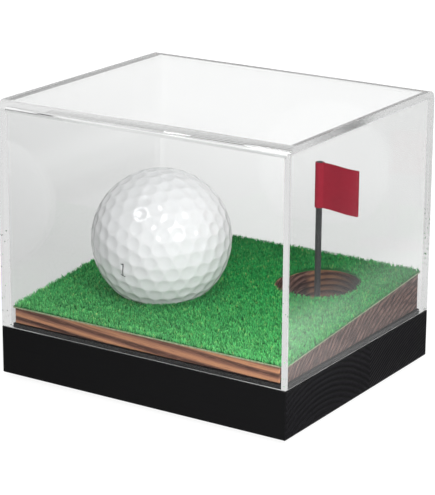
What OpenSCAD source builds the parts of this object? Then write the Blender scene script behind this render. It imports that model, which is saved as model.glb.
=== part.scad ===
// Display case for one golf ball: a clear cover over a small putting green on a black wood plinth.
// X runs along the front, Y to the back and Z up. The origin is under the middle, on the table.

/* [Plinth] */
// Width of the plinth along the front
base_w = 100.4; // [96:0.1:120]
// Depth of the plinth
base_d = 85; // [80:1:100]
// Height of the plinth's sides, up to the ledge that carries the cover
base_side_h = 14.9; // [12:0.1:20]
// Height of the raised middle above the ledge
step_h = 1; // [0.5:0.1:2]
// Rounding of the upright corners
base_corner_r = 0.6; // [0.3:0.1:2]
// Rounding of the lower edges
base_bottom_r = 1; // [0.5:0.1:3]

/* [Feet] */
// Diameter of a foot pad
foot_d = 8; // [6:0.5:12]
// Thickness of a foot pad
foot_h = 1; // [0.8:0.1:2]
// Distance from the plinth's edges to the middle of a pad
foot_inset = 9; // [7:0.5:14]

/* [Cover] */
// Height of the cover above the ledge
cover_h = 70; // [68:0.5:90]
// Thickness of the clear sheet
sheet_t = 2.5; // [2:0.1:3]
// How far the cover's walls stand back from the plinth's sides
cover_setback = 0.15; // [0:0.05:0.5]
// Outer radius of the two bends
bend_r = 3; // [2.8:0.1:5]
// Gap between the cover's walls and the raised middle
step_gap = 0.25; // [0.15:0.05:0.5]

/* [Green] */
// Width of the wood wedge
wedge_w = 93.6; // [90:0.1:94]
// Depth of the wood wedge
wedge_d = 78.4; // [75:0.1:78.8]
// Thickness of the wedge at its front
wedge_front_h = 5; // [4.5:0.1:7]
// Thickness of the wedge at its back
wedge_back_h = 11.7; // [9:0.1:14]
// Rounding of the wedge's upright and lower edges
wedge_edge_r = 0.7; // [0.3:0.1:1.5]
// Thickness of the turf, backing and pile together
turf_t = 1.4; // [1:0.1:2]
// How far the turf hangs over the wedge's edges
turf_overhang = 0.3; // [0.1:0.05:0.4]
// How much wider the turf's cup hole is than the cup, all round
turf_setback = 0.3; // [0.1:0.05:0.6]

/* [Cup] */
// Diameter of the cup, bored through the wedge
cup_d = 24; // [18:0.5:26]
// Middle of the cup from the middle of the case
cup_x = 25; // [22:0.5:28]
// Middle of the cup towards the back
cup_y = 17; // [12:0.5:20]

/* [Ball] */
// Diameter of the ball
ball_d = 42.7; // [42.6:0.1:43]
// Diameter of the seat bored in the wedge
seat_d = 27; // [24:0.5:28]
// Middle of the seat from the middle of the case
seat_x = -14.3; // [-18:0.1:-13]
// Middle of the seat towards the back
seat_y = -6.6; // [-10:0.1:0]
// Wood left under the seat
seat_floor_t = 2; // [1.5:0.1:2.5]
// Gap between the ball and the seat's rim
seat_gap = 0.25; // [0.1:0.05:0.4]
// Depth of a dimple below the ball's surface
dimple_depth = 0.24; // [0.18:0.01:0.3]
// Width of the land between two dimples
dimple_land = 0.3; // [0.05:0.01:0.5]
// Tilt of the dimple pattern about the line along the front
ball_tilt = 19.8; // [0:0.1:90]
// Lean of the dimple pattern about the line to the back
ball_lean = 6.4; // [0:0.1:90]
// Turn of the dimple pattern about the upright
ball_turn = 3.5; // [0:0.1:360]

/* [Flag] */
// Diameter of the flagstick
stick_d = 1.9; // [1.5:0.1:2.5]
// Middle of the flagstick from the middle of the case
stick_x = 24.1; // [20:0.1:30]
// Middle of the flagstick towards the back
stick_y = 16.5; // [10:0.1:22]
// Height of the flagstick's top above the table
stick_top = 65.7; // [60:0.1:75]
// Depth of the flagstick's socket in the plinth
socket_h = 8; // [5:0.5:11]
// Gap round the flagstick in its socket and in the flag
stick_gap = 0.05; // [0.02:0.01:0.1]
// Height of the flag
flag_h = 14; // [10:0.5:18]
// Length of the flag from the flagstick's middle
flag_w = 15.2; // [12:0.1:17]
// Thickness of the flag's cloth, which is folded double
cloth_t = 0.35; // [0.2:0.05:0.5]
// How far the flag points forward from straight right
flag_turn = 11; // [0:1:30]
// Height of the wave along the flag
flag_wave = 0.3; // [0:0.1:0.6]

/* [Hidden] */
$fn = 64;

ledge_z = foot_h + base_side_h;
step_z = ledge_z + step_h;
cover_w = base_w - 2 * cover_setback;
cover_d = base_d - 2 * cover_setback;
inner_w = cover_w - 2 * sheet_t;
inner_d = cover_d - 2 * sheet_t;
slope = (wedge_back_h - wedge_front_h) / wedge_d;
slope_angle = atan(slope);
ball_r = ball_d / 2;
seat_r = seat_d / 2;
past = 1; // how far a cutter runs past the face that it opens

// Height of the wedge's sloping top at a place along Y
function wedge_top(y) = step_z + wedge_front_h + (y + wedge_d / 2) * slope;

// Rectangle about the origin with four round corners
module rounded_plan(w, d, r) {
    square([w - 2 * r, d], center = true);
    square([w, d - 2 * r], center = true);
    for (x = [-1, 1], y = [-1, 1]) translate([x * (w / 2 - r), y * (d / 2 - r)]) circle(r = r);
}

// Upright rectangle on the origin with two round lower corners
module rounded_foot(w, h, r) {
    translate([-w / 2, r]) square([w, h - r]);
    translate([-w / 2 + r, 0]) square([w - 2 * r, h]);
    for (x = [-1, 1]) translate([x * (w / 2 - r), r]) circle(r = r);
}

// Block with round upright corners and round lower edges, standing on the origin
module eased_block(w, d, h, upright_r, lower_r) {
    intersection() {
        linear_extrude(h) rounded_plan(w, d, upright_r);
        translate([0, d, 0]) rotate([90, 0, 0]) linear_extrude(2 * d) rounded_foot(w, h, lower_r);
        translate([-w, 0, 0]) rotate([90, 0, 90]) linear_extrude(2 * w) rounded_foot(d, h, lower_r);
    }
}

// Plinth: the ledge round its top carries the cover and the raised middle keeps it in place
module base_block() {
    step_w = inner_w - 2 * step_gap;
    step_d = inner_d - 2 * step_gap;
    color("#17171a") difference() {
        translate([0, 0, foot_h]) union() {
            eased_block(base_w, base_d, base_side_h, base_corner_r, base_bottom_r);
            translate([0, 0, base_side_h / 2]) linear_extrude(base_side_h / 2 + step_h)
                rounded_plan(step_w, step_d, base_corner_r);
        }
        translate([stick_x, stick_y, step_z - socket_h])
            cylinder(r = stick_d / 2 + stick_gap, h = socket_h + past);
    }
}

// Self-adhesive pad with a rounded lower edge, at one corner under the plinth
module foot(side_x, side_y) {
    edge_r = foot_h * 0.4;
    color("#202022") translate([side_x * (base_w / 2 - foot_inset), side_y * (base_d / 2 - foot_inset), 0])
        rotate_extrude() union() {
            square([foot_d / 2 - edge_r, foot_h]);
            translate([0, edge_r]) square([foot_d / 2, foot_h - edge_r]);
            translate([foot_d / 2 - edge_r, edge_r]) circle(r = edge_r);
        }
}
module foot_front_left() { foot(-1, -1); }
module foot_front_right() { foot(1, -1); }
module foot_back_left() { foot(-1, 1); }
module foot_back_right() { foot(1, 1); }

// Arch outline that stands on the origin, its two upper corners rounded
module arch(w, h, r) {
    translate([-w / 2, 0]) square([w, h - r]);
    translate([-w / 2 + r, 0]) square([w - 2 * r, h]);
    for (x = [-1, 1]) translate([x * (w / 2 - r), h - r]) circle(r = r);
}

// Turns an outline of depth and height into a plate that stands across X
module across(x, t) {
    translate([x, 0, ledge_z]) rotate([90, 0, 90]) linear_extrude(t) children();
}

// One sheet bent twice: the cover's front, top and back
module cover_bent_sheet() {
    color([0.88, 0.93, 0.94, 0.35]) across(-inner_w / 2, inner_w) difference() {
        arch(cover_d, cover_h, bend_r);
        translate([0, -past]) arch(inner_d, cover_h - sheet_t + past, bend_r - sheet_t);
    }
}

// Flat panels glued on the bent sheet's two ends
module cover_left_panel() {
    color([0.82, 0.9, 0.92, 0.35]) across(-cover_w / 2, sheet_t) arch(cover_d, cover_h, bend_r);
}
module cover_right_panel() {
    color([0.82, 0.9, 0.92, 0.35]) across(inner_w / 2, sheet_t) arch(cover_d, cover_h, bend_r);
}

// Side view of what lies between two slopes, as depth and height
module slope_band(d, low, high) {
    front = -d / 2;
    back = d / 2;
    polygon([[front, low(front)], [back, low(back)], [back, high(back)], [front, high(front)]]);
}

// Wedge that gives the green its slope, bored through for the cup and part way for the ball
module wood_wedge() {
    color("#8a5a3e") difference() {
        intersection() {
            translate([0, 0, step_z])
                eased_block(wedge_w, wedge_d, wedge_back_h + past, wedge_edge_r, wedge_edge_r);
            translate([-wedge_w, 0, 0]) rotate([90, 0, 90]) linear_extrude(2 * wedge_w)
                slope_band(wedge_d, function(y) 0, function(y) wedge_top(y));
        }
        translate([cup_x, cup_y, step_z - past]) cylinder(d = cup_d, h = wedge_back_h + 2 * past);
        translate([seat_x, seat_y, step_z + seat_floor_t]) cylinder(r = seat_r, h = wedge_back_h);
    }
}

// Short artificial grass on the slope, open over the cup and round the ball
module turf_mat() {
    turf_d = wedge_d + 2 * turf_overhang;
    ball_cut_r = sqrt(ball_r * ball_r - pow(seat_rise() - turf_t, 2));
    color("#2f9e44") difference() {
        intersection() {
            linear_extrude(wedge_top(turf_d) + turf_t)
                rounded_plan(wedge_w + 2 * turf_overhang, turf_d, wedge_edge_r);
            translate([-wedge_w, 0, 0]) rotate([90, 0, 90]) linear_extrude(2 * wedge_w)
                slope_band(turf_d, function(y) wedge_top(y), function(y) wedge_top(y) + turf_t);
        }
        translate([cup_x, cup_y, 0]) cylinder(r = cup_d / 2 + turf_setback, h = stick_top);
        translate([seat_x, seat_y, 0]) cylinder(r = ball_cut_r + turf_setback, h = stick_top);
    }
}

// Thin rod that stands in its socket in the plinth, near the middle of the cup
module flagstick() {
    stick_h = stick_top - (step_z - socket_h);
    chamfer = stick_d / 8;
    color("#47474a") translate([stick_x, stick_y, step_z - socket_h]) rotate_extrude()
        polygon([[0, 0], [stick_d / 2 - chamfer, 0], [stick_d / 2, chamfer],
            [stick_d / 2, stick_h - chamfer], [stick_d / 2 - chamfer, stick_h], [0, stick_h]]);
}

// Cloth wrapped round the rod and glued to itself, with a slight wave
module flag() {
    steps = 16;
    function wave(s) = flag_wave * sin(360 * s / flag_w);
    near_side = [for (i = [0:steps]) let (s = flag_w * i / steps) [s, wave(s) - cloth_t]];
    far_side = [for (i = [steps:-1:0]) let (s = flag_w * i / steps) [s, wave(s) + cloth_t]];
    color("#92303c") translate([stick_x, stick_y, stick_top - flag_h - stick_d / 8]) rotate([0, 0, -flag_turn])
        linear_extrude(flag_h) difference() {
            union() {
                circle(r = stick_d / 2 + stick_gap + cloth_t);
                polygon(concat(near_side, far_side));
            }
            circle(r = stick_d / 2 + stick_gap);
        }
}

// Height of the ball's middle above the wedge's top, square to the slope
function seat_rise() = sqrt(ball_r * ball_r - seat_r * seat_r);

// The dimples lie on an icosahedron: 2 poles and 2 rings of 5 corners, with one dimple on each
// corner and a triangular lattice of dimples on each of the 20 faces between them
ring_z = 1 / sqrt(5);
ring_r = 2 / sqrt(5);
corner_angle = acos(ring_z);
north = [0, 0, 1];
south = [0, 0, -1];
function upper(k) = [ring_r * cos(72 * k), ring_r * sin(72 * k), ring_z];
function lower(k) = [ring_r * cos(72 * k + 36), ring_r * sin(72 * k + 36), -ring_z];
corners = concat([north, south], [for (k = [0:4]) each [upper(k), lower(k)]]);
faces = [for (k = [0:4]) each [
    [north, upper(k), upper(k + 1)],
    [upper(k), lower(k), upper(k + 1)],
    [lower(k), lower(k + 1), upper(k + 1)],
    [south, lower(k + 1), lower(k)]]];

// From one corner dimple to the next go this many lattice steps along, and this many across
along = 5;
aside = 1;
lattice = along * along + along * aside + aside * aside;
face_weights = [for (i = [-aside:along], j = [0:along + aside])
    let (u = ((along + aside) * i + aside * j) / lattice, v = (along * j - aside * i) / lattice)
    if (u > 0 && v > 0 && u + v < 1) [1 - u - v, u, v]];
function unit(v) = v / norm(v);
function on_ball(f, w) = unit(f[0] * sin(w[0] * corner_angle) + f[1] * sin(w[1] * corner_angle)
    + f[2] * sin(w[2] * corner_angle));
dimples = concat(corners, [for (f = faces, w = face_weights) on_ball(f, w)]);
function nearest(p) = ball_r * min([for (q = dimples) if (q != p) norm(q - p)]);

// Lens that cuts one dimple of diameter d into the top of a ball round the origin
module dimple_cutter(d) {
    chord_drop = ball_r - sqrt(ball_r * ball_r - d * d / 4);
    cap_h = dimple_depth - chord_drop;
    cap_r = (d * d / 4 + cap_h * cap_h) / (2 * cap_h);
    rim = 0.02;
    translate([0, 0, ball_r - dimple_depth]) rotate_extrude() intersection() {
        translate([0, cap_r]) circle(r = cap_r);
        square([d / 2 + rim, dimple_depth + rim]);
    }
}

// Ball: each dimple is as wide as its nearest neighbour allows
module golf_ball() {
    centre = [seat_x, seat_y, wedge_top(seat_y)]
        + (seat_rise() + seat_gap) * [0, -sin(slope_angle), cos(slope_angle)];
    color("#f4f5f4") translate(centre) rotate([ball_tilt, ball_lean, ball_turn]) difference() {
        sphere(r = ball_r);
        for (p = dimples) rotate([0, acos(p[2]), atan2(p[1], p[0])]) dimple_cutter(nearest(p) - dimple_land);
    }
}

base_block();
foot_front_left();
foot_front_right();
foot_back_left();
foot_back_right();
cover_bent_sheet();
cover_left_panel();
cover_right_panel();
wood_wedge();
turf_mat();
flagstick();
flag();
golf_ball();
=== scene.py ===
# Display case for one golf ball: a clear lift-off cover over a small putting green on a black plinth.
# All sizes are in metres. X runs along the front, Y to the back and Z up.
import math

import bpy
import numpy as np
from mathutils import Matrix, Vector


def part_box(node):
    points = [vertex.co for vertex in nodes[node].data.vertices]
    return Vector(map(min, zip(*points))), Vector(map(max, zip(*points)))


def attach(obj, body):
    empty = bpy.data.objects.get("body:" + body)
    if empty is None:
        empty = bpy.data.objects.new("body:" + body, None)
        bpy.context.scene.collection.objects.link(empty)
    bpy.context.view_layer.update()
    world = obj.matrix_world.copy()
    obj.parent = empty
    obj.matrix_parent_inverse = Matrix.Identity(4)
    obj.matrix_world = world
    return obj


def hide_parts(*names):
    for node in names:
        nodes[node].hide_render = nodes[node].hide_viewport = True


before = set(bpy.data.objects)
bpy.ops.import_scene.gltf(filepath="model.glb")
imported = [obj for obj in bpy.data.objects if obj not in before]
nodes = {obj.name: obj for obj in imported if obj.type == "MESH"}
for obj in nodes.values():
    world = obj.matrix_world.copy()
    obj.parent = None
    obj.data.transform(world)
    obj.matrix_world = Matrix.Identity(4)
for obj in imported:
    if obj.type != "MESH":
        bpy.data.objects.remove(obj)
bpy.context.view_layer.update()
millimetre = 0.001
noiseRange = (0.3, 0.7)  # where most of a noise texture's values lie

# Helpers for directions and node trees


def polar(turn, rise):  # direction out of the case: turn from the front towards the right, rise upwards
    flat = math.cos(math.radians(rise))
    return Vector((math.sin(math.radians(turn)) * flat, -math.cos(math.radians(turn)) * flat,
                   math.sin(math.radians(rise))))


def setSockets(tree, node, sockets):  # links a socket that is given, and otherwise sets the value
    for name, value in sockets.items():
        if isinstance(value, bpy.types.NodeSocket):
            tree.links.new(value, node.inputs[name])
        else:
            node.inputs[name].default_value = value


def addNode(tree, kind, settings=None, sockets=None):
    node = tree.nodes.new(kind)
    for name, value in (settings or {}).items():
        setattr(node, name, value)
    setSockets(tree, node, sockets or {})
    return node


def maths(tree, operation, *values):
    return addNode(tree, "ShaderNodeMath", {"operation": operation}, dict(enumerate(values))).outputs[0]


def product(tree, first, *others):
    for other in others:
        first = maths(tree, "MULTIPLY", first, other)
    return first


def mapRange(tree, value, fromMin, fromMax, toMin, toMax):
    return addNode(tree, "ShaderNodeMapRange", None, {
        "Value": value, "From Min": fromMin, "From Max": fromMax, "To Min": toMin, "To Max": toMax,
    }).outputs["Result"]


def mixFloats(tree, factor, first, second):
    return addNode(tree, "ShaderNodeMix", {"data_type": "FLOAT"}, {0: factor, 2: first, 3: second}).outputs[0]


def opaque(colour):  # a linked colour as it is, and a plain one with its alpha
    return colour if isinstance(colour, bpy.types.NodeSocket) else (*colour, 1)


def mixColours(tree, factor, first, second, blend="MIX"):
    return addNode(tree, "ShaderNodeMix", {"data_type": "RGBA", "blend_type": blend},
                   {0: factor, 6: opaque(first), 7: opaque(second)}).outputs[2]


def colourRamp(tree, factor, stops):
    ramp = addNode(tree, "ShaderNodeValToRGB", None, {"Fac": factor})
    elements = ramp.color_ramp.elements
    while len(elements) < len(stops):
        elements.new(0.5)
    for element, (place, colour) in zip(elements, stops):
        element.position = place
        element.color = opaque(colour)
    return ramp.outputs["Color"]


def joinVector(tree, x, y, z):
    return addNode(tree, "ShaderNodeCombineXYZ", None, {"X": x, "Y": y, "Z": z}).outputs["Vector"]


def axesOf(tree, vector):
    return addNode(tree, "ShaderNodeSeparateXYZ", None, {"Vector": vector}).outputs


def dotProduct(tree, first, second):
    return addNode(tree, "ShaderNodeVectorMath", {"operation": "DOT_PRODUCT"},
                   {0: first, 1: second}).outputs["Value"]


def subtractVector(tree, first, second):
    return addNode(tree, "ShaderNodeVectorMath", {"operation": "SUBTRACT"},
                   {0: first, 1: second}).outputs["Vector"]


def flatDistance(tree, axes, centre):  # distance from the upright line over centre
    return addNode(tree, "ShaderNodeVectorMath", {"operation": "DISTANCE"},
                   {0: joinVector(tree, axes["X"], axes["Y"], 0.0), 1: (*centre, 0)}).outputs["Value"]


def noise(tree, place, scale, detail, roughness=0.5):
    return addNode(tree, "ShaderNodeTexNoise", None, {
        "Vector": place, "Scale": scale, "Detail": detail, "Roughness": roughness}).outputs["Fac"]


def stretched(tree, place, scale):
    return addNode(tree, "ShaderNodeMapping", None, {"Vector": place, "Scale": scale}).outputs["Vector"]


def bumpFrom(tree, height, distance):
    return addNode(tree, "ShaderNodeBump", None, {"Height": height, "Distance": distance}).outputs["Normal"]


def objectPlace(tree):
    return addNode(tree, "ShaderNodeTexCoord").outputs["Object"]


def faceNormal(tree):
    return axesOf(tree, addNode(tree, "ShaderNodeNewGeometry").outputs["Normal"])


def lightPath(tree):
    return addNode(tree, "ShaderNodeLightPath").outputs


# Helpers for materials


def newMaterial(name):
    material = bpy.data.materials.new(name)
    material.use_nodes = True
    return material, material.node_tree, material.node_tree.nodes["Principled BSDF"]


def mixSurface(tree, share, first, second):  # shows second where share is 1
    mix = addNode(tree, "ShaderNodeMixShader", None, {0: share, 1: first, 2: second})
    tree.links.new(mix.outputs["Shader"], tree.nodes["Material Output"].inputs["Surface"])


def dress(obj, material):
    obj.data.materials.clear()
    obj.data.materials.append(material)


def dressNode(name, material):
    obj = nodes[name]
    if not obj.material_slots:
        obj.data.materials.append(material)
    for materialSlot in obj.material_slots:
        materialSlot.material = material


# Camera, from the fit of the photograph's lines
cameraValues = {
    "turn": 32.96, "rise": 16.61, "roll": 0.26,
    "distance": 0.64614, "target": (-0.004425, 0.001477, 0.0445),
    "frameWidth": 435, "frameHeight": 495, "focalPixels": 2125.5,
    "middleX": 208.13, "middleY": 225.03, "sensor": 36.0, "clipStart": 0.01,
}


def makeCamera():
    v = cameraValues
    back = polar(v["turn"], v["rise"])
    right = Vector((0, 0, 1)).cross(back).normalized()
    up = back.cross(right)
    roll = math.radians(v["roll"])
    rolledRight = math.cos(roll) * right + math.sin(roll) * up
    rolledUp = math.cos(roll) * up - math.sin(roll) * right
    camera = bpy.data.objects.new("camera", bpy.data.cameras.new("camera"))
    bpy.context.scene.collection.objects.link(camera)
    place = Vector(v["target"]) + v["distance"] * back
    facing = Matrix((rolledRight, rolledUp, back)).transposed().to_4x4()
    camera.matrix_world = Matrix.Translation(place) @ facing
    camera.data.sensor_width = v["sensor"]
    camera.data.lens = v["focalPixels"] / v["frameHeight"] * v["sensor"]
    camera.data.shift_x = (v["frameWidth"] / 2 - v["middleX"]) / v["frameHeight"]
    camera.data.shift_y = (v["middleY"] - v["frameHeight"] / 2) / v["frameHeight"]
    camera.data.clip_start = v["clipStart"]
    bpy.context.scene.camera = camera


# Studio: a white floor and world, three small lamps that no gloss shows, and two round lights that only show
# in a first reflection, as on the ball
studioValues = {
    "bounces": 256,  # light runs a long way along inside the cover's sheets
    # The world's light on things is strongest from this turn
    "fillTurn": 180, "fillNear": 2.17, "fillFar": 0.0,
    # The world looks darker high in front, except where the camera looks at it straight
    "darkAbove": (0, -0.6, 0.8), "darkFrom": 0.55, "darkTo": 0.85, "darkLevel": 0.12,
    "lampAim": (0, 0, 0.035),
    "lamps": {
        "frontLamp": {"turn": 25, "rise": 5, "distance": 0.28, "size": 0.06, "watts": 0.385},
        "nearLamp": {"turn": 55, "rise": 25, "distance": 0.2, "size": 0.05, "watts": 0.077},
        "keyLamp": {"turn": 53, "rise": 30, "distance": 0.45, "size": 0.15, "watts": 0.38},
    },
    "shines": ({"turn": 60, "rise": 31, "half": 12, "level": 13.0},
               {"turn": -9, "rise": 50, "half": 9, "level": 13.0}),
    "shineRim": 1,  # degrees over which such a light fades out
    "floorSize": 6.0, "floorColour": (0.35, 0.35, 0.35), "floorRoughness": 0.8,
    "floorGlow": 0.6, "glowLevel": 1.35,  # share and strength of the floor's own light in what is seen of it
    # The floor behind the case is brighter: its level grows with X and Y between two limits
    "seenSlope": (1.1, 2.3), "seenFrom": 0.81, "seenLeast": 0.85, "seenMost": 1.24, "cameraLevel": 1.12,
    # What the cover mirrors of the floor is darker in front, and has a bright band to the right of the case.
    # rightLevels pairs distances to the right with levels, and rightFall does so towards the back.
    "frontLevel": 0.12, "frontEnd": -0.06, "backStart": 0.04, "rightGain": 1.74,
    "rightLevels": ((0.05, 0.465), (0.053, 0.012), (0.066, 0.012), (0.075, 0.5), (0.086, 0.54),
                    (0.089, 0.78), (0.098, 1.0), (0.105, 0.74), (0.111, 0.48), (0.118, 0.2),
                    (0.124, 0.13), (0.148, 0.06), (0.17, 0.02)),
    "rightFall": ((0.01, 1.0), (0.027, 0.75), (0.044, 0.52), (0.067, 0.42), (0.089, 0.28)),
    "guidedLevel": 0.8,  # what is seen by way of the inside of the cover's edges
}


def seenRay(tree):  # 1 for what is seen, straight, mirrored or through the cover, and 0 for light on things
    path = lightPath(tree)
    sharp = maths(tree, "MAXIMUM", path["Is Glossy Ray"], path["Is Transmission Ray"])
    sharp = maths(tree, "MAXIMUM", path["Is Camera Ray"], sharp)
    return product(tree, sharp, maths(tree, "LESS_THAN", path["Diffuse Depth"], 0.5))


def mirroredRay(tree):  # 1 for what is seen in one reflection
    return maths(tree, "COMPARE", lightPath(tree)["Glossy Depth"], 1.0, 0.5)


def guidedRay(tree):  # 1 for light that was reflected more than once, as inside the cover's edges
    return maths(tree, "GREATER_THAN", lightPath(tree)["Glossy Depth"], 1.5)


def makeWorld():
    v = studioValues
    world = bpy.data.worlds.new("studio")
    bpy.context.scene.world = world
    world.use_nodes = True
    tree = world.node_tree
    direction = addNode(tree, "ShaderNodeTexCoord").outputs["Generated"]
    above = dotProduct(tree, direction, v["darkAbove"])
    level = mapRange(tree, above, v["darkFrom"], v["darkTo"], 1, v["darkLevel"])
    level = maths(tree, "MAXIMUM", level, lightPath(tree)["Is Camera Ray"])
    level = mixFloats(tree, guidedRay(tree), level, v["guidedLevel"])
    for shine in v["shines"]:
        near = dotProduct(tree, direction, polar(shine["turn"], shine["rise"]))
        rim, full = [math.cos(math.radians(shine["half"] + more)) for more in (v["shineRim"], 0)]
        disc = mapRange(tree, near, rim, full, 0, shine["level"])
        level = maths(tree, "ADD", level, product(tree, disc, mirroredRay(tree)))
    side = dotProduct(tree, direction, polar(v["fillTurn"], 0))
    fill = mapRange(tree, side, -1, 1, v["fillFar"], v["fillNear"])
    setSockets(tree, tree.nodes["Background"], {"Color": (1, 1, 1, 1),
                                                "Strength": mixFloats(tree, seenRay(tree), fill, level)})


def makeLamps():
    v = studioValues
    for name, lamp in v["lamps"].items():
        direction = polar(lamp["turn"], lamp["rise"])
        bpy.ops.object.light_add(type="AREA", location=Vector(v["lampAim"]) + lamp["distance"] * direction,
                                 rotation=direction.to_track_quat("Z", "Y").to_euler())
        obj = bpy.context.object
        obj.name = name
        obj.data.shape = "DISK"
        obj.data.size = lamp["size"]
        obj.data.energy = lamp["watts"]
        obj.visible_glossy = False
        obj.visible_transmission = False


def mirroredFloor(tree, axes):
    v = studioValues
    level = mapRange(tree, axes["Y"], v["frontEnd"], v["backStart"], v["frontLevel"], 1)
    level = product(tree, level, v["rightGain"])
    for axis, stops in (("X", v["rightLevels"]), ("Y", v["rightFall"])):
        reach = stops[-1][0]
        level = product(tree, level, colourRamp(tree, mapRange(tree, axes[axis], 0, reach, 0, 1),
                                                [(place / reach, (shade,) * 3) for place, shade in stops]))
    return level


def seenFloor(tree, axes):
    v = studioValues
    slopeX, slopeY = v["seenSlope"]
    level = maths(tree, "ADD", product(tree, axes["X"], slopeX), product(tree, axes["Y"], slopeY))
    level = maths(tree, "MINIMUM", maths(tree, "ADD", level, v["seenFrom"]), v["seenMost"])
    level = maths(tree, "MAXIMUM", level, v["seenLeast"])
    return maths(tree, "MAXIMUM", level, product(tree, lightPath(tree)["Is Camera Ray"], v["cameraLevel"]))


def makeFloor():
    v = studioValues
    bpy.ops.mesh.primitive_plane_add(size=v["floorSize"])
    floor = bpy.context.object
    floor.name = "floor"
    material, tree, shader = newMaterial("whiteFloor")
    setSockets(tree, shader, {"Base Color": opaque(v["floorColour"]), "Roughness": v["floorRoughness"],
                              "Specular IOR Level": 0.0})
    axes = axesOf(tree, objectPlace(tree))
    mirrored = mirroredRay(tree)
    level = mixFloats(tree, mirrored, seenFloor(tree, axes), mirroredFloor(tree, axes))
    level = mixFloats(tree, guidedRay(tree), level, v["guidedLevel"])
    glow = addNode(tree, "ShaderNodeEmission", None, {"Color": (1, 1, 1, 1),
                                                      "Strength": product(tree, level, v["glowLevel"])})
    share = product(tree, seenRay(tree), mapRange(tree, mirrored, 0, 1, v["floorGlow"], 1))
    mixSurface(tree, share, shader.outputs["BSDF"], glow.outputs["Emission"])
    dress(floor, material)


def makeStudio():
    scene = bpy.context.scene
    scene.view_settings.view_transform = "Standard"
    for limit in ("max_bounces", "glossy_bounces", "transmission_bounces"):
        setattr(scene.cycles, limit, studioValues["bounces"])
    makeWorld()
    makeLamps()
    makeFloor()


bpy.ops.object.select_all(action="DESELECT")
makeCamera()
makeStudio()
print("camera and studio ready")

# Modelling helpers


def pick(obj):
    bpy.ops.object.select_all(action="DESELECT")
    obj.select_set(True)
    bpy.context.view_layer.objects.active = obj


def editParts(obj, kind, test, operator, **settings):  # runs an operator on the parts that pass the test
    pick(obj)
    bpy.ops.object.mode_set(mode="EDIT")
    bpy.ops.mesh.select_mode(type=kind)
    bpy.ops.mesh.select_all(action="DESELECT")
    bpy.ops.object.mode_set(mode="OBJECT")
    parts = {"VERT": obj.data.vertices, "EDGE": obj.data.edges, "FACE": obj.data.polygons}[kind]
    for part in parts:
        part.select = test(part)
    bpy.ops.object.mode_set(mode="EDIT")
    operator(**settings)
    bpy.ops.object.mode_set(mode="OBJECT")


def giveMaterial(obj, material, test):  # puts one more material on the faces that pass the test
    obj.data.materials.append(material)
    obj.active_material_index = len(obj.data.materials) - 1
    editParts(obj, "FACE", test, bpy.ops.object.material_slot_assign)


def edgeEnds(obj, edge):
    return [obj.data.vertices[index].co for index in edge.vertices]


def applyModifier(obj, kind, name, **settings):
    pick(obj)
    modifier = obj.modifiers.new(name, kind)
    for key, value in settings.items():
        setattr(modifier, key, value)
    bpy.ops.object.modifier_apply(modifier=name)


def cutAway(obj, cutter):
    applyModifier(obj, "BOOLEAN", "cut", object=cutter, operation="DIFFERENCE", solver="EXACT")
    bpy.data.objects.remove(cutter)


def addBox(name, low, high):
    bpy.ops.mesh.primitive_cube_add(size=1, location=(Vector(low) + Vector(high)) / 2)
    obj = bpy.context.object
    obj.name = name
    obj.scale = Vector(high) - Vector(low)
    bpy.ops.object.transform_apply(location=True, rotation=True, scale=True)
    return obj


# Cover: clear cast acrylic, a sheet bent twice with a flat panel welded on each end
coverValues = {
    "bendRadius": 3.0 * millimetre, "bendSegments": 14,
    "lift": 0.05 * millimetre,  # between the cover and the ledge
    "tint": (0.93, 0.935, 0.933), "ior": 1.49,
    "scrapedRoughness": 0.25,  # of the end panels' top band
    "chamfer": 0.35 * millimetre,  # filed off the lower outer edges
    "filedColour": (0.5, 0.51, 0.51), "filedRoughness": 0.5,
    "markScale": 260.0, "markLimits": (0.35, 0.65), "markLevels": (0.5, 1.4),
    # A painted glow on the filed edges, standing in for light that the sheet leads there, from the middle
    # outwards along X
    "paintedEdgeGlow": (0.05, 0.42), "paintedEdgeGlowFrom": 0.028, "paintedEdgeGlowTo": 0.049,
}


def clearSockets(roughness):
    v = coverValues
    return {"Base Color": opaque(v["tint"]), "Roughness": roughness, "IOR": v["ior"],
            "Transmission Weight": 1.0}


def clearAcrylic(name, roughness):
    material, tree, shader = newMaterial(name)
    setSockets(tree, shader, clearSockets(roughness))
    return material


def filedAcrylicPaintedGlow():  # pale with a painted glow where it is looked at from outside, and clear for the light inside the sheet
    v = coverValues
    material, tree, shader = newMaterial("filedAcrylicPaintedGlow")
    place = objectPlace(tree)
    # the filed edges' emission is painted light, made uneven by the file marks
    marks = mapRange(tree, noise(tree, place, v["markScale"], 2.0), *v["markLimits"], *v["markLevels"])
    across = maths(tree, "ABSOLUTE", axesOf(tree, place)["X"])
    glow = mapRange(tree, across, v["paintedEdgeGlowFrom"], v["paintedEdgeGlowTo"], *v["paintedEdgeGlow"])
    setSockets(tree, shader, {"Base Color": opaque(v["filedColour"]), "Roughness": v["filedRoughness"],
                              "Emission Color": (1, 1, 1, 1),
                              "Emission Strength": product(tree, glow, marks)})
    clear = addNode(tree, "ShaderNodeBsdfPrincipled", None, clearSockets(0.0))
    mixSurface(tree, lightPath(tree)["Is Camera Ray"], clear.outputs["BSDF"], shader.outputs["BSDF"])
    return material


def bendTopEdges(obj, top, radius):
    def alongTop(edge):
        start, end = edgeEnds(obj, edge)
        return min(start.z, end.z) > top - millimetre / 100 and abs(start.y - end.y) < millimetre

    editParts(obj, "EDGE", alongTop, bpy.ops.mesh.bevel, offset=radius, offset_type="OFFSET",
              segments=coverValues["bendSegments"], affect="EDGES")


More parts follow.
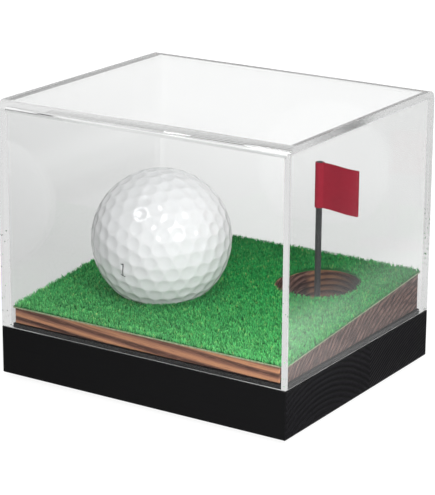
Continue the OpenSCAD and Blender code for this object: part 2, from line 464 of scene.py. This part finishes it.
def makeCover():
    v = coverValues
    low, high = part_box("cover_left_panel")
    thickness = high.x - low.x
    high.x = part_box("cover_right_panel")[1].x
    wall = Vector((thickness, thickness, thickness))
    innerTop = high.z - thickness

    def onLowerRim(edge):
        return all(end.z < low.z + millimetre and min(end.x - low.x, high.x - end.x, end.y - low.y,
                                                      high.y - end.y) < millimetre / 10
                   for end in edgeEnds(cover, edge))

    def inBend(face):
        return (face.center.z > high.z - 2 * v["bendRadius"] and abs(face.normal.z) > 0.01
                and abs(face.normal.y) > 0.01)

    def onEndBand(face):
        return (abs(face.normal.x) > 0.99 and face.center.z > innerTop
                and abs(face.center.x) > high.x - millimetre / 10)

    def isFiled(face):
        return -0.9 < face.normal.z < -0.5 and face.center.z < low.z + millimetre

    cover = addBox("clearCover", (low.x, low.y, low.z + v["lift"]), high)
    bendTopEdges(cover, high.z, v["bendRadius"])
    room = addBox("room", (low.x + thickness, low.y + thickness, low.z - thickness), high - wall)
    bendTopEdges(room, innerTop, v["bendRadius"] - thickness)
    cutAway(cover, room)
    editParts(cover, "EDGE", onLowerRim, bpy.ops.mesh.bevel, offset=v["chamfer"], offset_type="OFFSET",
              segments=1, affect="EDGES")
    editParts(cover, "FACE", inBend, bpy.ops.mesh.faces_shade_smooth)
    editParts(cover, "FACE", lambda face: True, bpy.ops.mesh.bisect,
              plane_co=(0, 0, innerTop), plane_no=(0, 0, 1))
    dress(cover, clearAcrylic("clearAcrylic", 0.0))
    giveMaterial(cover, clearAcrylic("scrapedAcrylic", v["scrapedRoughness"]), onEndBand)
    giveMaterial(cover, filedAcrylicPaintedGlow(), isFiled)
    cover.visible_shadow = False  # lamps light what is inside
    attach(cover, "cover")
    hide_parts("cover_bent_sheet", "cover_left_panel", "cover_right_panel")
    print("cover finished")


makeCover()

# Wood grain, for the plinth and the wedge: growth rings round a pith that runs along X, with fibres and pores
# along X. The scales of fibres and pores are along X, round the pith and outwards.
grainValues = {
    "slowScale": (8, 60, 60), "patchScale": 2.3,
    "fibreScale": (45.0, 25.0, 2200.0), "poreScale": (260.0, 90.0, 5200.0),
    "endFrom": 0.7, "endTo": 0.8,  # how squarely a face looks along X to count as end grain
}


def newGroup(name, inputs, outputs):
    group = bpy.data.node_groups.new(name, "ShaderNodeTree")
    for socketName, kind, value in inputs:
        socket = group.interface.new_socket(socketName, in_out="INPUT", socket_type="NodeSocket" + kind)
        if value is not None:
            socket.default_value = value
    for socketName in outputs:
        group.interface.new_socket(socketName, in_out="OUTPUT", socket_type="NodeSocketFloat")
    return group, group.nodes.new("NodeGroupInput").outputs, group.nodes.new("NodeGroupOutput")


def makeGrainGroup():
    v = grainValues
    group, inputs, output = newGroup(
        "woodGrain",
        [("Vector", "Vector", None), ("Pith Y", "Float", 0.0), ("Pith Z", "Float", 0.0),
         ("Drop", "Float", 0.0), ("Ring Width", "Float", 0.002), ("Wander", "Float", 0.001)],
        ["Ring", "Fibre", "Pores", "Patches"])
    place = axesOf(group, inputs["Vector"])
    slow = stretched(group, inputs["Vector"], v["slowScale"])
    wander = product(group, maths(group, "SUBTRACT", noise(group, slow, 1.0, 2.0), 0.5), inputs["Wander"])
    across = maths(group, "SUBTRACT", place["Y"], inputs["Pith Y"])
    up = maths(group, "SUBTRACT", place["Z"], inputs["Pith Z"])
    up = maths(group, "ADD", up, product(group, place["X"], inputs["Drop"]))
    radius = maths(group, "ADD", product(group, across, across), product(group, up, up))
    radius = maths(group, "ADD", maths(group, "SQRT", radius), wander)
    angle = maths(group, "ARCTAN2", up, across)

    def streaks(scales):
        return joinVector(group, *(product(group, value, scale)
                                   for value, scale in zip((place["X"], angle, radius), scales)))

    setSockets(group, output, {
        "Ring": maths(group, "FRACT", maths(group, "DIVIDE", radius, inputs["Ring Width"])),
        "Fibre": noise(group, streaks(v["fibreScale"]), 1.0, 3.0, 0.6),
        "Pores": noise(group, streaks(v["poreScale"]), 1.0, 1.0),
        "Patches": noise(group, slow, v["patchScale"], 3.0)})
    return group


woodGrain = makeGrainGroup()


def placeGrain(tree, pith, drop, ringWidth, wander):
    return addNode(tree, "ShaderNodeGroup", {"node_tree": woodGrain}, {
        "Vector": objectPlace(tree), "Pith Y": pith[0], "Pith Z": pith[1], "Drop": drop,
        "Ring Width": ringWidth, "Wander": wander}).outputs


def endFace(tree):  # 1 on faces that look along X, where the end grain shows
    v = grainValues
    return mapRange(tree, maths(tree, "ABSOLUTE", faceNormal(tree)["X"]), v["endFrom"], v["endTo"], 0, 1)


# Plinth: black-stained wood, smooth in front and with raised growth rings on its two ends
plinthValues = {
    "colour": (0.0068, 0.0068, 0.0072), "ringColour": (0.0095, 0.009, 0.011), "sheen": 0.09,
    "roughness": (0.44, 0.6),
    # The plinth is glued from two boards, front and back. The rings' middle, the pith, is at a Y and Z.
    "boardJoint": 0.006,
    "boards": ({"pith": (-0.022, -0.030), "ringWidth": 0.0017},
               {"pith": (0.066, -0.085), "ringWidth": 0.00105}),
    "drop": 0.02, "wander": 0.0012,
    "ridgeFrom": 0.08, "ridgeTo": 0.38,  # where a ridge rises, as a share of a ring
    "ridgeHeight": 0.12 * millimetre, "poreHeight": 0.04 * millimetre, "frontPores": 0.4,
}


def blackWood():
    v = plinthValues
    material, tree, shader = newMaterial("blackWood")
    boards = [placeGrain(tree, board["pith"], v["drop"], board["ringWidth"], v["wander"])
              for board in v["boards"]]
    inBack = maths(tree, "GREATER_THAN", axesOf(tree, objectPlace(tree))["Y"], v["boardJoint"])
    ring, pores, fibre = [mixFloats(tree, inBack, boards[0][name], boards[1][name])
                          for name in ("Ring", "Pores", "Fibre")]
    ends = endFace(tree)
    ridge = mapRange(tree, maths(tree, "PINGPONG", ring, 0.5), v["ridgeFrom"], v["ridgeTo"], 0, 1)
    ridge = product(tree, ridge, ends)
    pores = product(tree, pores, mapRange(tree, ends, 0, 1, v["frontPores"], 1))
    bump = addNode(tree, "ShaderNodeBump", None, {"Height": ridge, "Distance": v["ridgeHeight"],
                                                  "Normal": bumpFrom(tree, pores, v["poreHeight"])})
    setSockets(tree, shader, {"Base Color": mixColours(tree, ridge, v["colour"], v["ringColour"]),
                              "Roughness": mapRange(tree, fibre, *noiseRange, *v["roughness"]),
                              "Specular IOR Level": v["sheen"], "Normal": bump.outputs["Normal"]})
    return material


# Wedge: brown wood with dark late wood, sawn and oiled
wedgeValues = {
    "pith": (0.062, -0.055), "drop": math.tan(math.radians(3)), "ringWidth": 0.0018, "wander": 0.004,
    "fibreShift": 0.12,  # how far the fibres fray the rings, as a share of a ring
    "light": (0.64, 0.32, 0.17), "middle": (0.34, 0.165, 0.115), "late": (0.07, 0.037, 0.032),
    "endLight": (0.36, 0.2, 0.165), "endDark": (0.04, 0.02, 0.018),
    "ringStops": ((0.0, "light"), (0.28, "light"), (0.5, "middle"), (0.68, "late"), (0.86, "late"),
                  (1.0, "middle")),
    # Each streak has a mask, two limits on it, its share at the first and at the second, and its colour
    "sideStreaks": (("Patches", (0.35, 0.7, 0, 0.5), "middle"), ("Fibre", (0.55, 0.72, 0, 0.7), "late"),
                    ("Pores", (0.5, 0.7, 0, 0.6), "middle")),
    "endStreaks": (("Fibre", (0.4, 0.6, 1, 0), "endDark"), ("Ring", (0.4, 0.85, 0, 0.85), "endDark"),
                   ("Pores", (0.5, 0.7, 0, 0.5), "endDark")),
    "roughness": 0.62, "gloss": 0.1, "fibreHeight": 0.1 * millimetre, "poreShare": 0.6,
    # Painted shade: the cup's wall is darker towards one side
    "cup": (0.025, 0.017), "cupReach": 0.013, "cupShadeColour": (0.02, 0.01, 0.008),
    "cupAside": (0.84, 0.54, 0), "cupShadeShares": (-0.3, 1.1),
}


def addStreaks(tree, colour, masks, streaks):
    for mask, limits, streakColour in streaks:
        colour = mixColours(tree, mapRange(tree, masks[mask], *limits), colour, wedgeValues[streakColour])
    return colour


def paintedCupShade(tree):  # how much of the painted shade in the cup shows
    v = wedgeValues
    place = objectPlace(tree)
    inCup = maths(tree, "LESS_THAN", flatDistance(tree, axesOf(tree, place), v["cup"]), v["cupReach"])
    aside = dotProduct(tree, subtractVector(tree, place, (*v["cup"], 0)), v["cupAside"])
    return product(tree, inCup, mapRange(tree, aside, -v["cupReach"], v["cupReach"], *v["cupShadeShares"]))


def brownWood():
    v = wedgeValues
    material, tree, shader = newMaterial("brownWood")
    grain = placeGrain(tree, v["pith"], v["drop"], v["ringWidth"], v["wander"])
    masks = {name: grain[name] for name in ("Fibre", "Pores", "Patches")}
    frayed = mapRange(tree, grain["Fibre"], 0, 1, -v["fibreShift"], v["fibreShift"])
    masks["Ring"] = maths(tree, "ADD", grain["Ring"], frayed)
    side = colourRamp(tree, masks["Ring"], [(place, v[name]) for place, name in v["ringStops"]])
    side = addStreaks(tree, side, masks, v["sideStreaks"])
    end = addStreaks(tree, v["endLight"], masks, v["endStreaks"])
    colour = mixColours(tree, endFace(tree), side, end)
    # painted shade darkens the cup's wall towards one side
    colour = mixColours(tree, paintedCupShade(tree), colour, v["cupShadeColour"])
    height = maths(tree, "ADD", product(tree, grain["Pores"], v["poreShare"]), grain["Fibre"])
    setSockets(tree, shader, {"Base Color": colour, "Roughness": v["roughness"],
                              "Specular IOR Level": v["gloss"],
                              "Normal": bumpFrom(tree, height, v["fibreHeight"])})
    return material


# Pads: black rubber
padValues = {
    "colours": ((0.016, 0.016, 0.017), (0.03, 0.03, 0.031)), "roughness": 0.85, "gloss": 0.3,
    "grainScale": 2500.0, "grainHeight": 0.03 * millimetre,
}


def rubber():
    v = padValues
    material, tree, shader = newMaterial("rubber")
    grain = noise(tree, objectPlace(tree), v["grainScale"], 2.0)
    setSockets(tree, shader, {"Base Color": mixColours(tree, grain, *v["colours"]),
                              "Roughness": v["roughness"], "Specular IOR Level": v["gloss"],
                              "Normal": bumpFrom(tree, grain, v["grainHeight"])})
    return material


# Flagstick: a drawn rod, painted dark grey
rodValues = {
    "colour": (0.055, 0.055, 0.058), "roughness": (0.34, 0.54), "gloss": 0.4,
    "drawnScale": (3000, 3000, 150), "drawnHeight": 0.01 * millimetre,
}


def darkRod():
    v = rodValues
    material, tree, shader = newMaterial("darkRod")
    drawn = noise(tree, stretched(tree, objectPlace(tree), v["drawnScale"]), 1.0, 2.0)
    setSockets(tree, shader, {"Base Color": opaque(v["colour"]), "Specular IOR Level": v["gloss"],
                              "Roughness": mapRange(tree, drawn, *noiseRange, *v["roughness"]),
                              "Normal": bumpFrom(tree, drawn, v["drawnHeight"])})
    return material


dressNode("base_block", blackWood())
dressNode("wood_wedge", brownWood())
dressNode("flagstick", darkRod())
padRubber = rubber()
for name in ("foot_front_left", "foot_front_right", "foot_back_left", "foot_back_right"):
    dressNode(name, padRubber)
print("wood, rod and pads finished")

# Turf: a thin backing with a pale cut edge, and short fibres that lean every way
turfValues = {
    "backing": 0.45 * millimetre,
    # Middle and radius of the two holes
    "cup": ((0.025, 0.017), 0.0123), "seat": ((-0.0143, -0.0066), 0.0141), "holeSides": 160,
    "density": 9.5e6, "seed": 7,  # fibres on a square metre
    "fibreWidth": 0.24 * millimetre, "fibreLength": 1.3 * millimetre, "tip": 0.6, "lean": 0.75,
    "smallest": (0.8, 0.8, 0.75), "largest": (1.2, 1.2, 1.15), "edgeInset": 0.05 * millimetre,
    "greens": ((0.0, (0.01, 0.2, 0.06)), (0.3, (0.016, 0.5, 0.11)), (0.6, (0.05, 0.76, 0.18)),
               (0.85, (0.2, 0.86, 0.22)), (1.0, (0.75, 0.85, 0.3))),
    "patchScale": 420.0, "patchShare": 0.28,  # how much of a fibre's green comes from where it stands
    # Painted light and shade on the pile: painted shade at its roots and at the back, a painted shadow round
    # the ball, and painted light and haze that make it paler in front and at the right
    "rootPaintedShade": 0.45, "rootReach": 0.8, "backPaintedShade": 0.58, "frontPaintedLight": 1.05, "frontReach": 0.04,
    "frontPaintedHaze": (0.8, 0.95, 0.7), "frontHazeShare": 0.16, "frontFrom": 0.4,
    "rightPaintedLight": 1.2, "rightReach": 0.04, "ballPaintedShadow": 0.65, "ballReach": 0.022,
    "roughness": 0.75, "gloss": 0.12,
    "backingColour": (0.015, 0.16, 0.04), "backingRoughness": 0.9, "backingGloss": 0.1,
    "cutColour": (0.42, 0.48, 0.31), "cutFrom": 0.6, "cutTo": 0.4, "cutGrain": (0.3, 0.6, 0.5, 1),
    "grainScale": 1500.0, "grainHeight": 0.05 * millimetre,
}


def turfPlane():  # height of the wedge's top over the middle, and its slope along Y
    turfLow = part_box("turf_mat")[0]
    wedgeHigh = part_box("wood_wedge")[1]
    slope = (wedgeHigh.z - turfLow.z) / (wedgeHigh.y - turfLow.y)
    return turfLow.z - turfLow.y * slope, slope


def slopedPlate(name, low, high, thickness, lift):
    v = turfValues
    base, slope = turfPlane()
    plate = addBox(name, (low.x, low.y, base + lift), (high.x, high.y, base + lift + thickness))
    for y in (low.y, high.y):
        editParts(plate, "VERT", lambda vertex: abs(vertex.co.y - y) < millimetre,
                  bpy.ops.transform.translate, value=(0, 0, y * slope))
    for (x, y), radius in (v["cup"], v["seat"]):
        bpy.ops.mesh.primitive_cylinder_add(vertices=v["holeSides"], radius=radius, depth=0.1,
                                            location=(x, y, base))
        cutAway(plate, bpy.context.object)
    return plate


def addFibre():
    v = turfValues
    bpy.ops.mesh.primitive_plane_add(size=1, rotation=(math.pi / 2, 0, 0),
                                     location=(0, 0, v["fibreLength"] / 2))
    fibre = bpy.context.object
    fibre.name = "fibre"
    fibre.scale = (v["fibreWidth"], v["fibreLength"], 1)
    bpy.ops.object.transform_apply(location=True, rotation=True, scale=True)
    editParts(fibre, "VERT", lambda vertex: vertex.co.z > millimetre / 10,
              bpy.ops.transform.resize, value=(v["tip"], 1, 1))
    return fibre


def randomVector(tree, low, high, seed):
    return addNode(tree, "FunctionNodeRandomValue", {"data_type": "FLOAT_VECTOR"},
                   {0: low, 1: high, "Seed": seed}).outputs[0]


def randomFloat(tree, low, high, seed):
    return addNode(tree, "FunctionNodeRandomValue", {"data_type": "FLOAT"},
                   {2: low, 3: high, "Seed": seed}).outputs[1]


def growFibres(plate, fibre):
    v = turfValues
    tree = bpy.data.node_groups.new("turfFibres", "GeometryNodeTree")
    for direction in ("INPUT", "OUTPUT"):
        tree.interface.new_socket("Geometry", in_out=direction, socket_type="NodeSocketGeometry")
    start, end = tree.nodes.new("NodeGroupInput"), tree.nodes.new("NodeGroupOutput")
    normal = axesOf(tree, addNode(tree, "GeometryNodeInputNormal").outputs["Normal"])
    points = addNode(tree, "GeometryNodeDistributePointsOnFaces", {"distribute_method": "RANDOM"}, {
        "Mesh": start.outputs[0], "Selection": maths(tree, "GREATER_THAN", normal["Z"], 0.9),
        "Density": v["density"], "Seed": v["seed"]})
    source = addNode(tree, "GeometryNodeObjectInfo", None, {"Object": fibre})
    lean = v["lean"]
    fibres = addNode(tree, "GeometryNodeInstanceOnPoints", None, {
        "Points": points.outputs["Points"], "Instance": source.outputs["Geometry"],
        "Rotation": randomVector(tree, (-lean, -lean, 0), (lean, lean, 2 * math.pi), v["seed"] + 1),
        "Scale": randomVector(tree, v["smallest"], v["largest"], v["seed"] + 2)})
    store = addNode(tree, "GeometryNodeStoreNamedAttribute", {"data_type": "FLOAT", "domain": "INSTANCE"}, {
        "Geometry": fibres.outputs["Instances"], "Name": "shade"})
    value = next(socket for socket in store.inputs if socket.name == "Value" and socket.enabled)
    tree.links.new(randomFloat(tree, 0, 1, v["seed"] + 3), value)
    real = addNode(tree, "GeometryNodeRealizeInstances", None, {"Geometry": store.outputs["Geometry"]})
    tree.links.new(real.outputs["Geometry"], end.inputs[0])
    applyModifier(plate, "NODES", "fibres", node_group=tree)


def turfHeight(tree, axes):  # height above the wedge's top
    base, slope = turfPlane()
    return maths(tree, "SUBTRACT", maths(tree, "SUBTRACT", axes["Z"], base), product(tree, axes["Y"], slope))


def turfFibre():
    v = turfValues
    material, tree, shader = newMaterial("turfFibre")
    place = objectPlace(tree)
    axes = axesOf(tree, place)
    shade = addNode(tree, "ShaderNodeAttribute", {"attribute_name": "shade"}).outputs["Fac"]
    patches = mapRange(tree, noise(tree, place, v["patchScale"], 3.0), *noiseRange, 0, v["patchShare"])
    shade = maths(tree, "ADD", product(tree, shade, 1 - v["patchShare"]), patches)
    colour = colourRamp(tree, shade, v["greens"])
    # painted light and haze: the pile turns paler and yellower towards the front
    front = mapRange(tree, axes["Y"], -v["frontReach"], v["frontReach"], 1, 0)
    tint = mapRange(tree, front, v["frontFrom"], 1, 0, v["frontHazeShare"])
    colour = mixColours(tree, tint, colour, v["frontPaintedHaze"])
    rootTop = v["backing"] + v["fibreLength"] * v["rootReach"]
    seat, seatRadius = v["seat"]
    fromSeat = flatDistance(tree, axes, seat)
    # painted shade at the roots and at the back, painted light in front and at the right, and a painted
    # shadow round the ball
    level = product(tree,
                    mapRange(tree, turfHeight(tree, axes), v["backing"], rootTop, v["rootPaintedShade"], 1),
                    mapRange(tree, front, 0, 1, v["backPaintedShade"], v["frontPaintedLight"]),
                    mapRange(tree, axes["X"], 0, v["rightReach"], 1, v["rightPaintedLight"]),
                    mapRange(tree, fromSeat, seatRadius, v["ballReach"], v["ballPaintedShadow"], 1))
    colour = mixColours(tree, 1.0, colour, joinVector(tree, level, level, level), "MULTIPLY")
    setSockets(tree, shader, {"Base Color": colour, "Roughness": v["roughness"],
                              "Specular IOR Level": v["gloss"]})
    return material


def turfBacking():
    v = turfValues
    material, tree, shader = newMaterial("turfBacking")
    place = objectPlace(tree)
    axes = axesOf(tree, place)
    grain = noise(tree, place, v["grainScale"], 2.0)
    upright = maths(tree, "ABSOLUTE", faceNormal(tree)["Z"])
    cut = mapRange(tree, upright, v["cutTo"], v["cutFrom"], 1, 0)
    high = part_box("turf_mat")[1]  # the cut shows at the mat's outer edges, and not at a hole's
    outside = [maths(tree, "GREATER_THAN", maths(tree, "ABSOLUTE", axes[axis]), edge - millimetre)
               for axis, edge in (("X", high.x), ("Y", high.y))]
    cut = product(tree, cut, mapRange(tree, grain, *v["cutGrain"]), maths(tree, "MAXIMUM", *outside))
    setSockets(tree, shader, {"Base Color": mixColours(tree, cut, v["backingColour"], v["cutColour"]),
                              "Roughness": v["backingRoughness"], "Specular IOR Level": v["backingGloss"],
                              "Normal": bumpFrom(tree, grain, v["grainHeight"])})
    return material


def makeTurf():
    v = turfValues
    low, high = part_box("turf_mat")
    backing = slopedPlate("turfBacking", low, high, v["backing"], 0)
    dress(backing, turfBacking())
    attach(backing, "base")
    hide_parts("turf_mat")
    inset = Vector((v["edgeInset"], v["edgeInset"], 0))
    fibres = slopedPlate("turfFibres", low + inset, high - inset, v["backing"] / 2, v["backing"] / 4)
    fibre = addFibre()
    growFibres(fibres, fibre)
    bpy.data.objects.remove(fibre)
    dress(fibres, turfFibre())
    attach(fibres, "base")
    print("turf grown,", len(fibres.data.polygons), "faces")


makeTurf()

# Ball: gloss white, with 312 dimples laid out on an icosahedron, and a play number
ballValues = {
    "diameter": 42.7 * millimetre, "dimpleDepth": 0.32 * millimetre, "land": 0.3 * millimetre,
    "rimSoftness": 0.05,
    "stepsAlong": 5, "stepsAside": 1,  # lattice steps from one corner dimple to the next
    "tilt": 19.8, "lean": 6.4, "turn": 3.5, "cuts": 92,
    "colour": (0.805, 0.812, 0.82), "toneScale": 120.0, "toneShade": 0.985, "roughness": 0.05,
    "grainScale": 1800.0, "grainHeight": 0.003 * millimetre,
    "numberFacing": (0.02, -0.987, -0.14), "numberUp": (0.136, -0.217, 0.967), "ink": (0.06, 0.06, 0.065),
    # Left side, lower side, width and height of each stroke of the number, in millimetres
    "strokes": ((-0.17, -2.15, 0.34, 4.3), (-0.85, -2.15, 1.7, 0.28), (-0.7, 1.75, 0.6, 0.28)),
}


def dimpleDirections():
    ringZ, ringR = 1 / math.sqrt(5), 2 / math.sqrt(5)
    cornerAngle = math.acos(ringZ)

    def ringPoint(degrees, side):
        angle = math.radians(degrees)
        return Vector((ringR * math.cos(angle), ringR * math.sin(angle), side * ringZ))

    north, south = Vector((0, 0, 1)), Vector((0, 0, -1))
    upper = [ringPoint(72 * k, 1) for k in range(6)]
    lower = [ringPoint(72 * k + 36, -1) for k in range(6)]
    faces = []
    for k in range(5):
        faces += [(north, upper[k], upper[k + 1]), (upper[k], lower[k], upper[k + 1]),
                  (lower[k], lower[k + 1], upper[k + 1]), (south, lower[k + 1], lower[k])]
    along, aside = ballValues["stepsAlong"], ballValues["stepsAside"]
    lattice = along * along + along * aside + aside * aside
    found = [north, south] + upper[:5] + lower[:5]
    for i in range(-aside, along + 1):
        for j in range(along + aside + 1):
            u, w = ((along + aside) * i + aside * j) / lattice, (along * j - aside * i) / lattice
            if u > 0 and w > 0 and u + w < 1:
                weights = [math.sin(share * cornerAngle) for share in (1 - u - w, u, w)]
                found += [sum((corner * weight for corner, weight in zip(face, weights)),
                              Vector()).normalized() for face in faces]
    return np.array(found)


def ballCentre():
    low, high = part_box("golf_ball")
    return (low + high) / 2


def pressDimples(ball, radius):
    v = ballValues
    directions = dimpleDirections()
    distances = 2 * np.sin(np.arccos(np.clip(directions @ directions.T, -1, 1)) / 2)
    np.fill_diagonal(distances, 2)
    halfWidths = (distances.min(1) * radius - v["land"]) / 2
    places = np.zeros(len(ball.data.vertices) * 3)
    ball.data.vertices.foreach_get("co", places)
    places = places.reshape(-1, 3)
    outward = places / np.linalg.norm(places, axis=1)[:, None]
    depths = np.zeros(len(outward))
    for direction, halfWidth in zip(directions, halfWidths):  # the deepest dimple at each point
        chord = radius * np.sqrt(np.clip(2 - 2 * outward @ direction, 0, None))
        inside = 1 - (chord / halfWidth) ** 2
        depths = np.maximum(depths, 0.5 * (inside + np.sqrt(inside ** 2 + v["rimSoftness"] ** 2)))
    ball.data.vertices.foreach_set("co", (outward * (radius - v["dimpleDepth"] * depths)[:, None]).ravel())
    print("ball dimpled,", len(directions), "dimples")


def makeBall():
    v = ballValues
    radius = v["diameter"] / 2
    bpy.ops.mesh.primitive_ico_sphere_add(subdivisions=1, radius=radius)
    ball = bpy.context.object
    ball.name = "golfBall"
    editParts(ball, "FACE", lambda face: True, bpy.ops.mesh.subdivide, number_cuts=v["cuts"])
    applyModifier(ball, "CAST", "round", factor=1.0, radius=radius)
    pressDimples(ball, radius)
    ball.rotation_euler = [math.radians(v[angle]) for angle in ("tilt", "lean", "turn")]
    ball.location = ballCentre()
    bpy.ops.object.transform_apply(location=True, rotation=True, scale=True)
    bpy.ops.object.shade_smooth()
    dress(ball, ballCover())
    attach(ball, "ball")
    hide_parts("golf_ball")


def strokeMask(tree, right, up, left, low, wide, high):  # 1 inside a rectangle
    return product(tree,
                   maths(tree, "GREATER_THAN", right, left), maths(tree, "LESS_THAN", right, left + wide),
                   maths(tree, "GREATER_THAN", up, low), maths(tree, "LESS_THAN", up, low + high))


def numberInk(tree, place):  # 1 where the play number is printed
    v = ballValues
    facing, up = Vector(v["numberFacing"]).normalized(), Vector(v["numberUp"]).normalized()
    fromCentre = subtractVector(tree, place, ballCentre())
    x, y, front = [dotProduct(tree, fromCentre, axis) for axis in (up.cross(facing), up, facing)]
    ink = 0.0
    for stroke in v["strokes"]:
        ink = maths(tree, "MAXIMUM", strokeMask(tree, x, y, *(size * millimetre for size in stroke)), ink)
    return product(tree, ink, maths(tree, "GREATER_THAN", front, 0.0))


def ballCover():
    v = ballValues
    material, tree, shader = newMaterial("ballCover")
    place = objectPlace(tree)
    shaded = tuple(channel * v["toneShade"] for channel in v["colour"])
    white = mixColours(tree, noise(tree, place, v["toneScale"], 2.0), shaded, v["colour"])
    fine = noise(tree, place, v["grainScale"], 1.0)
    setSockets(tree, shader, {"Base Color": mixColours(tree, numberInk(tree, place), white, v["ink"]),
                              "Roughness": v["roughness"], "Normal": bumpFrom(tree, fine, v["grainHeight"])})
    return material


makeBall()

# Flag: a strip of cloth folded round the rod and glued to itself
flagValues = {
    "cloth": 0.33 * millimetre, "layerGap": 0.02 * millimetre, "rodGap": 0.05 * millimetre,
    "joinAngle": 35, "joinReach": 0.9,  # where the two layers part before the rod
    "turn": 11, "wave": 0.3 * millimetre, "reach": 15.2 * millimetre,
    "steps": 40, "wrapSteps": 20, "smoothAngle": 40,
    "colour": (0.44, 0.036, 0.062), "threadShade": 0.75, "threadPitch": 0.32 * millimetre,
    "threadHeight": 0.04 * millimetre, "threadLimits": (0.2, 0.8), "fuzzScale": 700.0,
    "roughness": 0.85, "gloss": 0.1,
}


def flagPath():  # plan of the cloth's middle: along the far side, round the rod and back on the near side
    v = flagValues
    rodLow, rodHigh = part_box("flagstick")
    rodRadius = (rodHigh.x - rodLow.x) / 2
    offset = (v["cloth"] + v["layerGap"]) / 2
    wrap = rodRadius + v["rodGap"] + v["cloth"] / 2
    joinAngle = math.asin(offset / wrap) + math.radians(v["joinAngle"])
    start = wrap * math.cos(joinAngle) + wrap * math.sin(joinAngle) * v["joinReach"]

    def wave(distance):
        return v["wave"] * math.sin(2 * math.pi * distance / v["reach"])

    runs = [start + (v["reach"] - start) * i / v["steps"] for i in range(v["steps"] + 1)]
    far = [(s, wave(s) + offset) for s in reversed(runs)]
    near = [(s, wave(s) - offset) for s in runs]
    around = 2 * math.pi - 2 * joinAngle
    angles = [joinAngle + around * i / v["wrapSteps"] for i in range(v["wrapSteps"] + 1)]
    return far + [(wrap * math.cos(a), wrap * math.sin(a)) for a in angles] + near


def makeFlag():
    v = flagValues
    low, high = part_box("flag")
    rodLow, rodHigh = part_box("flagstick")
    rod = (rodLow + rodHigh) / 2
    path = flagPath()
    turn = -math.radians(v["turn"])
    plan = [(rod.x + x * math.cos(turn) - y * math.sin(turn), rod.y + x * math.sin(turn) + y * math.cos(turn))
            for x, y in path]
    bpy.ops.mesh.primitive_plane_add(size=1)
    flag = bpy.context.object
    flag.name = "flagCloth"
    editParts(flag, "FACE", lambda face: True, bpy.ops.mesh.delete, type="EDGE_FACE")
    editParts(flag, "VERT", lambda vertex: vertex.co.x > 0, bpy.ops.mesh.delete, type="VERT")
    for vertex, z in zip(flag.data.vertices, (low.z, high.z)):  # the strip's first end
        vertex.co = (*plan[0], z)
    pick(flag)
    bpy.ops.object.mode_set(mode="EDIT")
    bpy.ops.mesh.select_mode(type="EDGE")
    bpy.ops.mesh.select_all(action="SELECT")
    bpy.ops.mesh.edge_face_add()
    for (x0, y0), (x1, y1) in zip(plan, plan[1:]):
        bpy.ops.mesh.extrude_region_move(TRANSFORM_OT_translate={"value": (x1 - x0, y1 - y0, 0)})
    bpy.ops.mesh.select_all(action="SELECT")
    bpy.ops.mesh.subdivide(number_cuts=1)
    bpy.ops.object.mode_set(mode="OBJECT")
    applyModifier(flag, "SOLIDIFY", "clothThickness", thickness=v["cloth"], offset=0.0, use_even_offset=True)
    bpy.ops.object.shade_smooth_by_angle(angle=math.radians(v["smoothAngle"]))
    dress(flag, flagCloth())
    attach(flag, "base")
    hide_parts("flag")


def flagCloth():
    v = flagValues
    material, tree, shader = newMaterial("flagCloth")
    place = objectPlace(tree)
    axes = axesOf(tree, place)
    turn = math.radians(v["turn"])
    run = maths(tree, "SUBTRACT", product(tree, axes["X"], math.cos(turn)),
                product(tree, axes["Y"], math.sin(turn)))
    scale = 2 * math.pi / v["threadPitch"]
    warp, weft = [maths(tree, "SINE", product(tree, along, scale)) for along in (run, axes["Z"])]
    weave = mapRange(tree, product(tree, warp, weft), -1, 1, 0, 0.5)
    shade = maths(tree, "ADD", weave, product(tree, noise(tree, place, v["fuzzScale"], 3.0), 0.5))
    threads = tuple(channel * v["threadShade"] for channel in v["colour"])
    colour = mixColours(tree, mapRange(tree, shade, *v["threadLimits"], 0, 1), threads, v["colour"])
    setSockets(tree, shader, {"Base Color": colour, "Roughness": v["roughness"],
                              "Specular IOR Level": v["gloss"],
                              "Normal": bumpFrom(tree, shade, v["threadHeight"])})
    return material


makeFlag()
